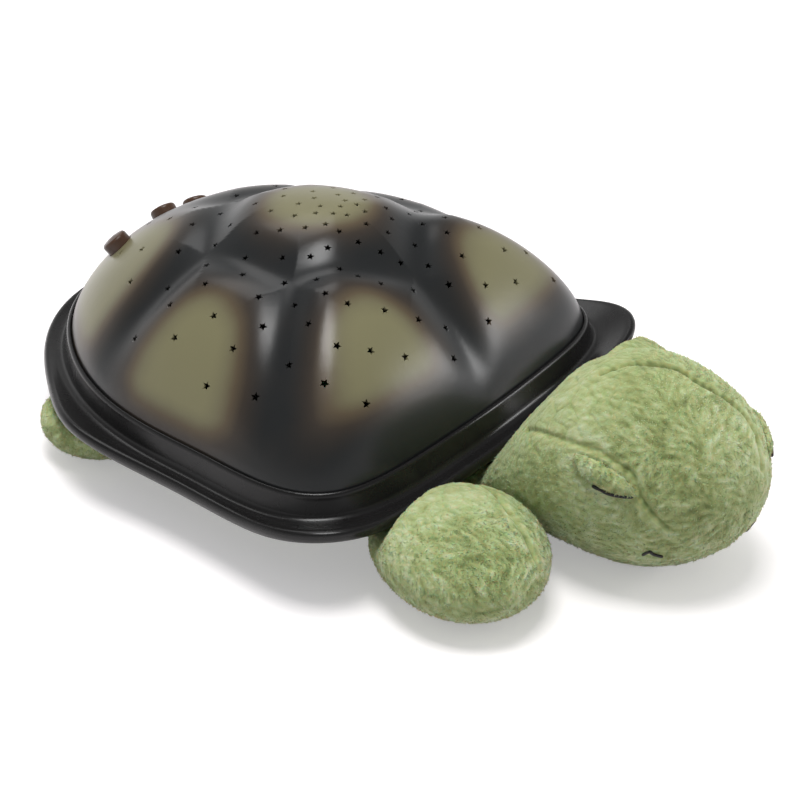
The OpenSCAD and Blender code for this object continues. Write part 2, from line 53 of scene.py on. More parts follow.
# ---- sizes shared with the CAD source ----
FOOT_FRONT, FOOT_TAIL, FOOT_HALF, FOOT_Z = 80.0, 130.0, 96.0, 38.0
DOME_RISE, DOME_WALL, FOOT_TUCK = 68.0, 2.0, 3.0
VALLEY_DEPTH, VALLEY_W = 5.5, 21.0
DOME_POWER, DOME_SHOULDER = 1.9, 1.4
STAR_COUNT, STAR_FIRST, STAR_TOP_R, STAR_LOW_R, STAR_REACH = 132, 3, 1.7, 0.6, 0.9
BRIM_W, LOBE_W, LOBE_RISE, BRIM_DROP, BAND_H, RIM_WALL = 13.0, 11.0, 7.0, 14.0, 8.0, 2.5
SCREW_INSET, BOSS_R = 9.0, 4.2
BUTTON_R, BUTTON_PROUD, BUTTON_S, BUTTON_TILT = 6.0, 4.5, 0.825, 50.0
BUTTON_AT = {"power_button": -27, "blue_button": 11, "green_button": 28, "amber_button": 45}
HEAD_REACH, HEAD_LONG, HEAD_HALF, HEAD_H = 202.0, 54.0, 44.5, 84.0
FIT_GAP, GROUND_SINK, FACE_TURN = 0.2, 0.5, 22.0

SHELL_Y = (HEAD_REACH - FOOT_TAIL - BRIM_W) / 2
HEAD_CENTRE = np.array([0.0, HEAD_LONG - HEAD_REACH, HEAD_H / 2 - GROUND_SINK])
HEAD_RADII = np.array([HEAD_HALF, HEAD_LONG, HEAD_H / 2])
LEDGE_Z, BRIM_Z = FOOT_Z - FOOT_TUCK, FOOT_Z - BRIM_DROP
SEAT_Z = BRIM_Z + 1.5

# Shell outline: shares of the half width and of the front or tail reach, from the front to the tail.
FOOT_SHAPE = [(0, -1.005), (0.42, -0.99), (0.9, -0.95), (1.06, -0.65), (1.0, -0.12),
              (0.99, 0.23), (0.84, 0.57), (0.47, 0.907), (0, 1.0465)]
FOOT_TURN = 2 * len(FOOT_SHAPE) - 2
LOBES = [(2.35, 1.0), (5.4, 0.55), (FOOT_TURN - 2.35, 1.0), (FOOT_TURN - 5.4, 0.55)]
LOBE_SPREAD = 0.6
HALF_SCUTES = [(0.42, -0.72), (0.84, 0.08), (0.5, 0.66)]
SCUTE_SHAPE = [(0, 0.02)] + [(side * x, y) for x, y in HALF_SCUTES for side in (1, -1)]


def on_outline(share):
    """A share of the half width and of the reach, as a plan point."""
    return [share[0] * FOOT_HALF, share[1] * (FOOT_FRONT if share[1] < 0 else FOOT_TAIL)]


HALF_OUTLINE = [on_outline(p) for p in FOOT_SHAPE]
KNOTS = np.array(HALF_OUTLINE + [(-x, y) for x, y in reversed(HALF_OUTLINE[1:-1])])
SCUTES = np.array([on_outline(p) for p in SCUTE_SHAPE])
BUTTON_LAND, LAND_R = np.array(on_outline((0.07, 0.86))), 46.0


# ---- the shell's shape ----
def foot(t):
    """The shell's foot line at turn t: a closed uniform cubic B-spline."""
    t = np.asarray(t, float)
    i = np.floor(t).astype(int)
    f = (t - i)[..., None]
    weights = ((1 - f) ** 3, 3 * f**3 - 6 * f**2 + 4, -3 * f**3 + 3 * f**2 + 3 * f + 1, f**3)
    return sum(weight * KNOTS[(i + k) % FOOT_TURN] for weight, k in zip(weights, (-1, 0, 1, 2))) / 6


def foot_out(t):
    """The foot line's outward normal at turn t."""
    step = 0.05
    d = foot(t + step) - foot(t - step + FOOT_TURN)
    return np.stack([d[..., 1], -d[..., 0]], -1) / np.linalg.norm(d, axis=-1, keepdims=True)


def lobe(t):
    """Share of the rim's corner lobes at turn t."""
    return sum(share * np.exp(-(((t - centre) / LOBE_SPREAD) ** 2)) for centre, share in LOBES)


def valley(plan):
    """Relief between the nearest scute centre and the next, left out round the buttons."""
    land = 1 - np.exp(-((np.linalg.norm(plan - BUTTON_LAND, axis=-1) / LAND_R) ** 4))
    d = np.sort(np.linalg.norm(plan[..., None, :] - SCUTES, axis=-1), -1)
    return -VALLEY_DEPTH * np.exp(-(((d[..., 1] - d[..., 0]) / VALLEY_W) ** 2)) * land


def dome(s, t, inset=0.0):
    """A point of the shell: s runs from 0 at the top to 1 at the foot, t runs round it."""
    s = np.asarray(s, float)
    p = foot(t)
    q = p * (1 - inset / np.linalg.norm(p, axis=-1, keepdims=True))
    rise = (DOME_RISE - inset) * (1 - s**DOME_POWER) ** (1 / DOME_SHOULDER)
    z = FOOT_Z + rise + valley(s[..., None] * p) * (1 - s**8)
    return np.concatenate([s[..., None] * q, z[..., None]], -1)


def dome_normal(s, t):
    """The shell's outward normal, from small steps each way."""
    h = 0.01
    s = np.clip(s, 2 * h, 1 - h)
    n = np.cross(dome(s, t + h) - dome(s, t - h + FOOT_TURN), dome(s - h, t) - dome(s + h, t))
    return n / np.linalg.norm(n, axis=-1, keepdims=True)


FINE_TURNS = np.linspace(0, FOOT_TURN, 3201)[:-1]
FINE_OUTLINE = foot(FINE_TURNS)
FINE_BEARING = np.arctan2(FINE_OUTLINE[:, 0], -FINE_OUTLINE[:, 1]) % (2 * math.pi)


def shell_place(plan):
    """(s, t) of plan points."""
    bearing = np.arctan2(plan[:, 0], -plan[:, 1]) % (2 * math.pi)
    t = np.interp(bearing, np.append(FINE_BEARING, 2 * math.pi), np.append(FINE_TURNS, FOOT_TURN))
    return np.linalg.norm(plan, axis=-1) / np.linalg.norm(foot(t), axis=-1), t


# ---- mesh helpers ----
def in_world(places):
    """Places in the shell's frame in millimetres, as metres in the world."""
    return (np.asarray(places, float) + [0, SHELL_Y, 0]) * MM


def in_shell(points):
    """Points in metres in the world, as millimetres in the shell's frame."""
    return points / MM - [0, SHELL_Y, 0]


def mesh_of(name, points, faces):
    """A mesh from points in shell millimetres and faces, a list of equal-sized index arrays or of lists."""
    mesh = bpy.data.meshes.new(name)
    mesh.from_pydata(in_world(points).tolist(), [], [list(map(int, f)) for f in faces])
    mesh.update()
    return mesh


def free_object(name, data):
    """A new object in the scene, which rides on nothing yet."""
    made = bpy.data.objects.new(name, data)
    bpy.context.scene.collection.objects.link(made)
    return made


def add_piece(name, mesh, replaced=(), body="toy"):
    """A piece that rides on a body and stands in for CAD nodes."""
    piece = free_object(name, mesh)
    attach(piece, body)
    if replaced:
        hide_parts(*replaced)
    return piece


def ring_faces(n, rings, closed=False):
    """Quads between rings of n points each."""
    j, i = np.meshgrid(np.arange(rings if closed else rings - 1), np.arange(n), indexing="ij")
    a, b, k = j * n, ((j + 1) % rings) * n, (i + 1) % n
    return np.stack([a + i, a + k, b + k, b + i], -1).reshape(-1, 4)


def closed_faces(n, rings):
    """Quads between rings of n points each, and fans from the two tips, whose points come last."""
    count, last = rings * n, (rings - 1) * n
    faces = [list(f) for f in ring_faces(n, rings)]
    for i in range(n):
        k = (i + 1) % n
        faces += [[count, k, i], [count + 1, last + i, last + k]]
    return faces


def baked(piece):
    """The piece's mesh with its modifiers applied."""
    graph = bpy.context.evaluated_depsgraph_get()
    return bpy.data.meshes.new_from_object(piece.evaluated_get(graph))


def of_points(mesh, key):
    """One vector of each of the mesh's points, such as its place (co) or its normal."""
    rows = np.empty(len(mesh.vertices) * 3)
    mesh.vertices.foreach_get(key, rows)
    return rows.reshape(-1, 3)


def point_values(mesh, name, values):
    attribute = mesh.attributes.get(name) or mesh.attributes.new(name, "FLOAT", "POINT")
    attribute.data.foreach_set("value", np.asarray(values, np.float32))


def smoothstep(x, low, high):
    f = np.clip((x - low) / (high - low), 0, 1)
    return f * f * (3 - 2 * f)


def turned(angle):
    """Rotation about Z by degrees."""
    a = math.radians(angle)
    return np.array([[math.cos(a), -math.sin(a), 0], [math.sin(a), math.cos(a), 0], [0, 0, 1]])


# ---- materials ----
def material(name, looks):
    """A new material whose shader has these looks, its nodes' adder, its linker and its shader."""
    made = bpy.data.materials.new(name)
    made.use_nodes = True
    tree = made.node_tree
    shader = tree.nodes["Principled BSDF"]
    for key, value in looks.items():
        shader.inputs[key].default_value = value

    def add(kind, **values):
        node = tree.nodes.new(kind)
        for key, value in values.items():
            if key in node.inputs:
                node.inputs[key].default_value = value
            else:
                setattr(node, key, value)
        return node

    return made, add, tree.links.new, shader


def tinted(add, link, shader, value, stops):
    """The shader's colour from a value, through (place, colour) stops."""
    node = add("ShaderNodeValToRGB")
    elements = node.color_ramp.elements
    while len(elements) < len(stops):
        elements.new(0.5)
    for element, (place, tint) in zip(elements, stops):
        element.position = place
        element.color = (*tint, 1)
    link(value, node.inputs[0])
    link(node.outputs[0], shader.inputs["Base Color"])


def bump(add, link, shader, height, strength, distance):
    node = add("ShaderNodeBump", Strength=strength, Distance=distance)
    link(height, node.inputs["Height"])
    link(node.outputs["Normal"], shader.inputs["Normal"])


def texture(add, link, kind, **values):
    """A texture over the piece's own place, so it is the same in every view."""
    place = add("ShaderNodeTexCoord")
    node = add(kind, **values)
    link(place.outputs["Object"], node.inputs["Vector"])
    return node


def object_noise(add, link, scale, detail):
    return texture(add, link, "ShaderNodeTexNoise", Scale=scale, Detail=detail)


def scaled(add, link, value, share, shift):
    """value * share + shift, where shift is a number or an output."""
    node = add("ShaderNodeMath", operation="MULTIPLY_ADD")
    node.inputs[1].default_value = share
    link(value, node.inputs[0])
    if isinstance(shift, float):
        node.inputs[2].default_value = shift
    else:
        link(shift, node.inputs[2])
    return node.outputs[0]


def added(add, link, first, second):
    node = add("ShaderNodeMath", operation="ADD")
    link(first, node.inputs[0])
    link(second, node.inputs[1])
    return node.outputs[0]


# Charcoal between the scutes, through brown, to olive in their middles.
AIRBRUSH_TINTS = [(0.0, (0.016, 0.017, 0.0175)), (0.3, (0.040, 0.031, 0.024)), (0.55, (0.090, 0.068, 0.042)),
                  (0.8, (0.150, 0.136, 0.078)), (1.0, (0.185, 0.172, 0.094))]
# The pile's colours, from the painted shade of its roots to its paler tips.
PILE_TINTS = [(0.0, (0.15, 0.185, 0.062)), (0.35, (0.27, 0.315, 0.120)), (0.7, (0.385, 0.435, 0.200)),
              (1.0, (0.50, 0.54, 0.315))]


def shell_material():
    """Gloss plastic with the scutes airbrushed over charcoal, by the airbrush attribute."""
    made, add, link, shader = material("shell_airbrushed_plastic", {
        "Roughness": 0.28, "Specular IOR Level": 0.3})
    paint = add("ShaderNodeAttribute", attribute_name="airbrush")
    cloud = object_noise(add, link, 45.0, 4.0)
    spread = scaled(add, link, cloud.outputs["Fac"], 0.16, -0.08)
    tinted(add, link, shader, added(add, link, paint.outputs["Fac"], spread), AIRBRUSH_TINTS)
    peel = object_noise(add, link, 260.0, 2.0)
    bump(add, link, shader, peel.outputs["Fac"], 0.05, 0.0006)
    return made


def gloss_material(name, tint, dark, roughness, shine):
    """Moulded glossy plastic: faint flow clouds in the colour, an orange-peel skin and a varied gloss."""
    made, add, link, shader = material(name, {"Specular IOR Level": shine})
    cloud = object_noise(add, link, 38.0, 4.0)
    tinted(add, link, shader, cloud.outputs["Fac"], [(0.3, dark), (0.7, tint)])
    smear = object_noise(add, link, 90.0, 5.0)
    gloss = add("ShaderNodeMapRange", **{"To Min": roughness * 0.8, "To Max": roughness * 1.25})
    link(smear.outputs["Fac"], gloss.inputs["Value"])
    link(gloss.outputs[0], shader.inputs["Roughness"])
    peel = object_noise(add, link, 220.0, 2.0)
    bump(add, link, shader, peel.outputs["Fac"], 0.06, 0.0005)
    return made


def matte_material(name, tint, dark, roughness=0.55, grain_scale=900.0, metallic=0.0):
    """Spark-textured plastic, board or metal: fine grain in colour and bump."""
    made, add, link, shader = material(name, {"Roughness": roughness, "Metallic": metallic})
    grain = object_noise(add, link, grain_scale, 5.0)
    tinted(add, link, shader, grain.outputs["Fac"], [(0.25, dark), (0.75, tint)])
    bump(add, link, shader, grain.outputs["Fac"], 0.25, 0.0002)
    return made


def plush_material():
    """Short pile: a painted shade dark at its roots, pale at its tips, with patches of each."""
    made, add, link, shader = material("plush_pile_fabric", {
        "Roughness": 0.85, "Specular IOR Level": 0.2,
        "Sheen Weight": 0.45, "Sheen Roughness": 0.5, "Sheen Tint": (0.75, 0.85, 0.6, 1),
        "Subsurface Weight": 0.45, "Subsurface Scale": 0.0018})
    pile = add("ShaderNodeAttribute", attribute_name="pile")
    patch = object_noise(add, link, 60.0, 5.0)
    fine = object_noise(add, link, 620.0, 4.0)
    blotch = scaled(add, link, patch.outputs["Fac"], 0.44, -0.35)
    speck = scaled(add, link, fine.outputs["Fac"], 0.36, blotch)
    tinted(add, link, shader, added(add, link, pile.outputs["Fac"], speck), PILE_TINTS)
    bump(add, link, shader, fine.outputs["Fac"], 0.7, 0.0009)
    return made


def thread_material():
    """Black twisted thread."""
    made, add, link, shader = material("black_embroidery_thread", {"Roughness": 0.6})
    twist = texture(add, link, "ShaderNodeTexWave", Scale=900.0, Distortion=1.5)
    blacks = [(0.0, (0.004, 0.004, 0.004)), (1.0, (0.025, 0.024, 0.022))]
    tinted(add, link, shader, twist.outputs["Fac"], blacks)
    bump(add, link, shader, twist.outputs["Fac"], 0.5, 0.0003)
    return made


def board_material():
    """Circuit board: solder mask with paler copper tracks under it."""
    made, add, link, shader = material("circuit_board_green", {"Roughness": 0.35})
    tracks = texture(add, link, "ShaderNodeTexBrick", Scale=160.0, Color1=(0.012, 0.10, 0.035, 1),
                     Color2=(0.016, 0.12, 0.045, 1), Mortar=(0.05, 0.22, 0.07, 1))
    link(tracks.outputs["Color"], shader.inputs["Base Color"])
    bump(add, link, shader, tracks.outputs["Fac"], 0.2, 0.0001)
    return made


def lens_material(name, tint):
    """Tinted epoxy of a lamp, a little cloudy."""
    made, add, link, shader = material(name, {
        "Roughness": 0.12, "Coat Weight": 0.5, "Subsurface Weight": 0.3, "Subsurface Scale": 0.002})
    cloud = object_noise(add, link, 500.0, 2.0)
    tinted(add, link, shader, cloud.outputs["Fac"], [(0.2, tuple(0.5 * c for c in tint)), (0.8, tint)])
    return made


MATERIALS = {
    "shell": shell_material(),
    "rim": gloss_material("rim_gloss_plastic", (0.0120, 0.0115, 0.0115), (0.0085, 0.0080, 0.0080),
                          roughness=0.26, shine=0.3),
    "pan": matte_material("pan_matte_plastic", (0.035, 0.033, 0.032), (0.022, 0.021, 0.020)),
    "buttons": gloss_material("button_gloss_plastic", (0.085, 0.047, 0.030), (0.060, 0.032, 0.020),
                              roughness=0.25, shine=0.3),
    "plush": plush_material(),
    "steel": matte_material("bright_steel", (0.62, 0.62, 0.64), (0.45, 0.45, 0.47),
                            roughness=0.3, grain_scale=1500.0, metallic=1.0),
    "cell_sleeve": gloss_material("cell_sleeve_foil", (0.05, 0.15, 0.11), (0.03, 0.10, 0.075),
                                  roughness=0.3, shine=0.5),
    "circuit_board": board_material(),
    "blue_lens": lens_material("lamp_blue_epoxy", (0.12, 0.22, 0.8)),
    "green_lens": lens_material("lamp_green_epoxy", (0.12, 0.6, 0.2)),
    "amber_lens": lens_material("lamp_amber_epoxy", (0.85, 0.4, 0.06)),
    "chip": matte_material("chip_epoxy", (0.018, 0.018, 0.018), (0.010, 0.010, 0.010),
                           roughness=0.5, grain_scale=1200.0),
    "small_parts": matte_material("small_part_sleeve", (0.05, 0.05, 0.16), (0.03, 0.03, 0.10),
                                  roughness=0.35, grain_scale=800.0),
    "switch_body": matte_material("switch_body_plastic", (0.05, 0.05, 0.055), (0.03, 0.03, 0.033),
                                  roughness=0.45),
    "bracket": matte_material("bracket_plastic", (0.50, 0.50, 0.47), (0.42, 0.42, 0.40),
                              roughness=0.5, grain_scale=700.0),
}
THREAD = thread_material()


def dress(piece, slot):
    """The piece, with one material on all its faces."""
    piece.data.materials.clear()
    piece.data.materials.append(MATERIALS[slot])
    return piece


# ---- shell ----
OUTER_RINGS, INNER_RINGS, SHELL_AROUND = 84, 40, 320
STAR_POINTS, STAR_WAIST, CUT_DEPTH, BUTTON_CLEAR = 5, 0.48, 5.0, 5.0


def star_hash(k):
    """A number from 0 to 1 that looks random, as the CAD source works it out."""
    v = 37.7 * math.sin(math.radians(k * 78.233 + 12.9))
    return v - math.floor(v)


def star_place(k):
    """(s, t) of star k on a golden-angle spiral, a little off it at random."""
    grown = ((k + STAR_FIRST) / (STAR_COUNT + STAR_FIRST)) ** 0.8
    s = STAR_REACH * grown * (0.96 + 0.04 * star_hash(k))
    turn = k * 0.618034 + 0.02 * star_hash(k + 500)
    return s, FOOT_TURN * (turn - math.floor(turn))


TAIL_AXIS_Y = 0.41 * FOOT_TAIL
BUTTON_RING_R = BUTTON_S * FOOT_TAIL - TAIL_AXIS_Y
BUTTON_Z = float(dome(np.array([BUTTON_S]), np.array([FOOT_TURN / 2.0]))[0, 2])


def button_frame(angle):
    """(rotation, origin) of a button's own frame, its z out of the shell."""
    tilt = math.radians(BUTTON_TILT - 90)
    lean = np.array([[1, 0, 0], [0, math.cos(tilt), -math.sin(tilt)], [0, math.sin(tilt), math.cos(tilt)]])
    spin = turned(-angle)
    origin = np.array([0, TAIL_AXIS_Y, 0]) + spin @ np.array([0, BUTTON_RING_R, BUTTON_Z])
    return spin @ lean, origin


def prism(outline, rotation, origin, low, high):
    """Points and faces of an upright prism in a turned frame."""
    n = len(outline)
    flat = np.array(outline, float)
    ends = np.concatenate([np.c_[flat, np.full(n, low)], np.c_[flat, np.full(n, high)]])
    points = ends @ rotation.T + origin
    sides = [[i, (i + 1) % n, n + (i + 1) % n, n + i] for i in range(n)]
    return points, sides + [list(range(n))[::-1], list(range(n, 2 * n))]


def star_outline(radius):
    """A five-pointed star, anticlockwise."""
    corners = []
    for i in range(2 * STAR_POINTS):
        reach, angle = (radius, STAR_WAIST * radius)[i % 2], math.radians(180 / STAR_POINTS * i)
        corners.append((reach * math.sin(angle), reach * math.cos(angle)))
    return corners[::-1]


def cutter_mesh():
    """All the star prisms and button holes as one mesh."""
    parts = []
    centres = np.array([button_frame(a)[1] for a in BUTTON_AT.values()])
    for k in range(STAR_COUNT):
        s, t = star_place(k)
        place = dome(np.array([s]), np.array([t]))[0]
        if np.linalg.norm(centres - place, axis=1).min() <= BUTTON_R + BUTTON_CLEAR:
            continue
        n = Vector(dome_normal(np.array([s]), np.array([t]))[0])
        bearing, tilt = math.atan2(n.y, n.x), math.acos(n.z)
        lean = np.array(Matrix.Rotation(bearing, 3, "Z") @ Matrix.Rotation(tilt, 3, "Y"))
        outline = star_outline(STAR_TOP_R + STAR_LOW_R * s * s)
        spin = turned(360 * star_hash(k + 900))
        parts.append(prism(outline, lean @ spin, place, -CUT_DEPTH, CUT_DEPTH))
    hole = BUTTON_R + 2 * FIT_GAP
    angles = np.linspace(0, 2 * math.pi, 65)[:-1]
    circle = [(hole * math.cos(a), hole * math.sin(a)) for a in angles]
    for angle in BUTTON_AT.values():
        parts.append(prism(circle, *button_frame(angle), -4, 8))
    points, faces, base = [], [], 0
    for part_points, part_faces in parts:
        points.append(part_points)
        faces += [[base + i for i in f] for f in part_faces]
        base += len(part_points)
    return mesh_of("cutters", np.concatenate(points), faces)


def make_shell():
    """The shell between its outer and inner skins, less the stars and button holes."""
    turns = np.arange(SHELL_AROUND) * FOOT_TURN / SHELL_AROUND

    def skin(count, inset):
        """Rings from near the top to the foot."""
        return [dome(np.full(SHELL_AROUND, math.sin(math.pi / 2 * j / count)), turns, inset)
                for j in range(1, count + 1)]

    outer, inner = skin(OUTER_RINGS, 0.0), skin(INNER_RINGS, DOME_WALL)[::-1]
    low = [np.c_[r[:, :2], np.full(SHELL_AROUND, LEDGE_Z + 0.05)] for r in (outer[-1], inner[0])]
    rings = outer + low + inner
    tips = [dome(np.array([0.0]), np.array([0.0]), inset)[0] for inset in (0.0, DOME_WALL)]
    points = np.concatenate(rings + [np.array(tips)])
    # Rings run outwards from the top, so the faces are turned to face out.
    faces = [f[::-1] for f in closed_faces(SHELL_AROUND, len(rings))]
    solid = free_object("shell_blank", mesh_of("shell_blank", points, faces))
    cutter = free_object("shell_cutter", cutter_mesh())
    cut = solid.modifiers.new("stars", "BOOLEAN")
    cut.operation, cut.object, cut.solver = "DIFFERENCE", cutter, "MANIFOLD"
    bpy.context.view_layer.update()
    mesh = baked(solid)
    for o in (solid, cutter):
        bpy.data.objects.remove(o)
    finish_shell(mesh)
    dress(add_piece("pierced_shell", mesh, ["dome_shell"]), "shell")


def airbrush(plan):
    """1 in the middle of each scute and 0 between scutes, rounded where three of them meet."""
    gap, spread = 4, 58
    d = np.sort(np.linalg.norm(plan[:, None] - SCUTES, axis=-1), -1)
    return np.prod(smoothstep(d[:, 1:4] - d[:, :1], gap, spread), axis=1)


def finish_shell(mesh):
    """The airbrush strength at each point, and true normals over the outside."""
    co = in_shell(of_points(mesh, "co"))
    s, t = shell_place(co[:, :2])
    frontal = smoothstep(-co[:, 1] / np.linalg.norm(co[:, :2], axis=1), 0.3, 0.75)
    # The paint fades out above the foot line, and higher up at the front.
    fade = 1 - smoothstep(s, 0.93 - 0.13 * frontal, 1.03 - 0.08 * frontal)
    point_values(mesh, "airbrush", airbrush(co[:, :2]) * fade)
    skin = dome(np.clip(s, 0, 1), t)
    outside = (np.abs(co[:, 2] - skin[:, 2]) < 0.08) & (s > 0.01) & (s < 0.995)
    normals = dome_normal(s, t)
    mesh.shade_smooth()
    corner_point = np.empty(len(mesh.loops), np.int32)
    mesh.loops.foreach_get("vertex_index", corner_point)
    wanted = np.zeros((len(mesh.loops), 3))
    for face in mesh.polygons:
        corners = np.arange(face.loop_start, face.loop_start + face.loop_total)
        points = corner_point[corners]
        flat = np.array(face.normal)
        true = normals[points]
        cut_wall = s[points].max() < 0.99 and len(corners) < 5 and face.area < 4e-6
        if outside[points].all() and (true @ flat).min() > 0.8:
            wanted[corners] = true
        elif not outside[points].all() and cut_wall:
            wanted[corners] = flat
    mesh.normals_split_custom_set(wanted.tolist())


# ---- rim ----
RIM_AROUND = 400


def rim_section():
    """Each point: reach outside the foot line, height, share of the lobe it follows, and its round."""
    inner = -SCREW_INSET - BOSS_R - 0.6
    groove_z = FOOT_Z - BAND_H
    bead = [(FIT_GAP, LEDGE_Z, 0, 0.2), (FIT_GAP, FOOT_Z + 0.8, 0, 0.4), (1.1, FOOT_Z + 1.3, 0, 1.0),
            (2.1, FOOT_Z + 0.4, 0, 1.0), (2.4, FOOT_Z - 1.2, 0, 0.6)]
    band = [(4, groove_z, 0.05, 1.2), (6, groove_z - 1.6, 0.15, 2.0),
            (BRIM_W * 0.72, groove_z - 0.6, 0.6, 2.5)]
    lip = [(BRIM_W - 1.8, groove_z, 0.92, 1.6), (BRIM_W - 0.5, groove_z - 1, 1, 1.2),
           (BRIM_W, BRIM_Z + 3, 1, 1.6), (BRIM_W - 0.9, BRIM_Z + 0.7, 1, 1.0)]
    underside = [(BRIM_W - 2.4, BRIM_Z, 0.95, 1.0), (BRIM_W * 0.6, BRIM_Z, 0.5, 1.0),
                 (2.4, BRIM_Z, 0.05, 1.0)]
    seat = [(-RIM_WALL, SEAT_Z, 0, 0.4), (inner, SEAT_Z, 0, 0.4), (inner, SEAT_Z + RIM_WALL, 0, 0.4),
            (-DOME_WALL - RIM_WALL, SEAT_Z + RIM_WALL, 0, 0.4), (-DOME_WALL - 1.6, LEDGE_Z, 0, 0.4)]
    return bead + band + lip + underside + seat


def rounded(section, steps=4):
    """A closed section with each corner replaced by a small curve."""
    made = []
    n = len(section)
    for i, (x, z, share, radius) in enumerate(section):
        here = np.array([x, z, share])
        before, after = (np.array(section[(i + d) % n][:3]) - here for d in (-1, 1))
        cut = [min(1.0, radius / np.linalg.norm(side[:2]), 0.48) for side in (before, after)]
        start, end = here + before * cut[0], here + after * cut[1]
        for f in np.linspace(0, 1, steps):
            made.append((1 - f) ** 2 * start + 2 * f * (1 - f) * here + f * f * end)
    return np.array(made)


def make_rim():
    """The rim's section carried round the foot line, its lip rising at the lobes."""
    turns = np.arange(RIM_AROUND) * FOOT_TURN / RIM_AROUND
    out, line, lobes = foot_out(turns), foot(turns), lobe(turns)
    rings = []
    for reach, z, share in rounded(rim_section()):
        plan = line + ((reach + share * LOBE_W * lobes)[:, None]) * out
        rings.append(np.c_[plan, z + share * LOBE_RISE * lobes])
    faces = ring_faces(RIM_AROUND, len(rings), closed=True)[:, ::-1]
    mesh = mesh_of("flared_rim", np.concatenate(rings), faces)
    mesh.shade_smooth()
    mesh.set_sharp_from_angle(angle=math.radians(50))
    dress(add_piece("flared_rim", mesh, ["rim_skirt"]), "rim")


# ---- buttons ----
def revolved(profile, rotation, origin, name, around=72):
    """A body turned from a closed profile of (radius, height), its first and last points on the axis."""
    angles = np.arange(around) * 2 * math.pi / around
    rings = [np.c_[r * np.cos(angles), r * np.sin(angles), np.full(around, z)] for r, z in profile[1:-1]]
    tips = np.array([[0, 0, profile[0][1]], [0, 0, profile[-1][1]]])
    points = np.concatenate(rings + [tips]) @ rotation.T + origin
    mesh = mesh_of(name, points, closed_faces(around, len(rings)))
    mesh.shade_smooth()
    mesh.set_sharp_from_angle(angle=math.radians(40))
    return mesh


def make_buttons():
    """Domed caps on their flanges and stems, each riding on its own travel."""
    crown, swell_h, stem_r, stem_l = 1.6, 0.6, 2, 1.5
    flange_r, flange_t, guide_top, guide_t = BUTTON_R + 0.8, 1.2, -4.8, 1.2
    flange_top = guide_top - guide_t - flange_r**2 / (2 * BUTTON_RING_R) - FIT_GAP
    flange_low = flange_top - flange_t
    stem_end = flange_low - stem_l
    flat_r, shoulder_z = BUTTON_R - crown, BUTTON_PROUD - crown
    shoulder = [(flat_r + crown * math.cos(a), shoulder_z + crown * math.sin(a))
                for a in np.linspace(0, math.pi / 2.2, 9)]
    top = [(flat_r * (1 - f), BUTTON_PROUD + swell_h * f * (2 - f)) for f in (0.25, 0.5, 0.75, 0.9)]
    profile = [(0, stem_end), (stem_r, stem_end), (stem_r, flange_low), (flange_r, flange_low),
               (flange_r, flange_top), (BUTTON_R, flange_top), *shoulder, *top, (0, BUTTON_PROUD + swell_h)]
    for name, angle in BUTTON_AT.items():
        mesh = revolved(profile, *button_frame(angle), name + "_cap")
        press = name.replace("_button", "_press")
        dress(add_piece(name + "_cap", mesh, [name], press), "buttons")


# ---- plush, in metres ----
VOXEL, SIM_FRAMES, PRESSURE, SUBDIVISIONS = 0.0032, 20, 4.0, 2
SETTLE_SHARE, SETTLE_INSET = 0.85, 0.3
SEAM_WIDTH, SEAM_DEPTH = 0.0011, 0.0014
SCALE_TRIES, SCALE_SPACING, SCALE_WIDTH, SCALE_DEPTH = 1500, 0.0062, 0.0010, 0.0004
TUFT_WIDTH, TUFT_ROOT, GROUND_CLEAR = 0.0008, 0.0004, 0.0003
# A seam's place on the pieces that have none.
FAR_AWAY = (9.0, 9.0, 9.0)
# Each stuffed piece's skin without its pile, for what is sewn on it.
skins = {}


def with_modifiers(mesh, setups):
    """The mesh after a stack of modifiers, each (kind, {setting: value})."""
    carrier = free_object("carrier", mesh)
    for kind, settings in setups:
        modifier = carrier.modifiers.new(kind.lower(), kind)
        for key, value in settings.items():
            setattr(modifier, key, value)
    bpy.context.view_layer.update()
    made = baked(carrier)
    bpy.data.objects.remove(carrier)
    return made


def swell(mesh, cap):
    """Blows the closed mesh up as cloth and caps how far a point moves. Returns the new places."""
    start = of_points(mesh, "co")
    carrier = free_object("cloth_carrier", mesh)
    cloth = carrier.modifiers.new("cloth", "CLOTH")
    cloth.settings.quality = 4
    cloth.settings.mass = 0.25
    cloth.settings.tension_stiffness = 12
    cloth.settings.compression_stiffness = 12
    cloth.settings.bending_stiffness = 0.6
    cloth.settings.use_pressure = True
    cloth.settings.uniform_pressure_force = PRESSURE
    cloth.settings.effector_weights.gravity = 0
    cloth.point_cache.frame_start, cloth.point_cache.frame_end = 1, SIM_FRAMES
    for f in range(1, SIM_FRAMES + 1):
        bpy.context.scene.frame_set(f)
    blown = baked(carrier)
    moved = of_points(blown, "co") - start
    reach = np.linalg.norm(moved, axis=1, keepdims=True)
    bpy.data.objects.remove(carrier)
    bpy.data.meshes.remove(blown)
    bpy.context.scene.frame_set(1)
    return start + moved * np.minimum(1, cap / np.maximum(reach, 1e-9))


def settled(mesh, node, inset, share):
    """The mesh's points, moved a share of the way to the node's own surface less an inset."""
    solid = nodes[node].data
    tree = BVHTree.FromPolygons([v.co for v in solid.vertices], [p.vertices[:] for p in solid.polygons])
    co = of_points(mesh, "co")
    for i, point in enumerate(co):
        near, normal, _, _ = tree.find_nearest(Vector(point))
        co[i] += share * (np.array(near - normal * inset) - point)
    return co


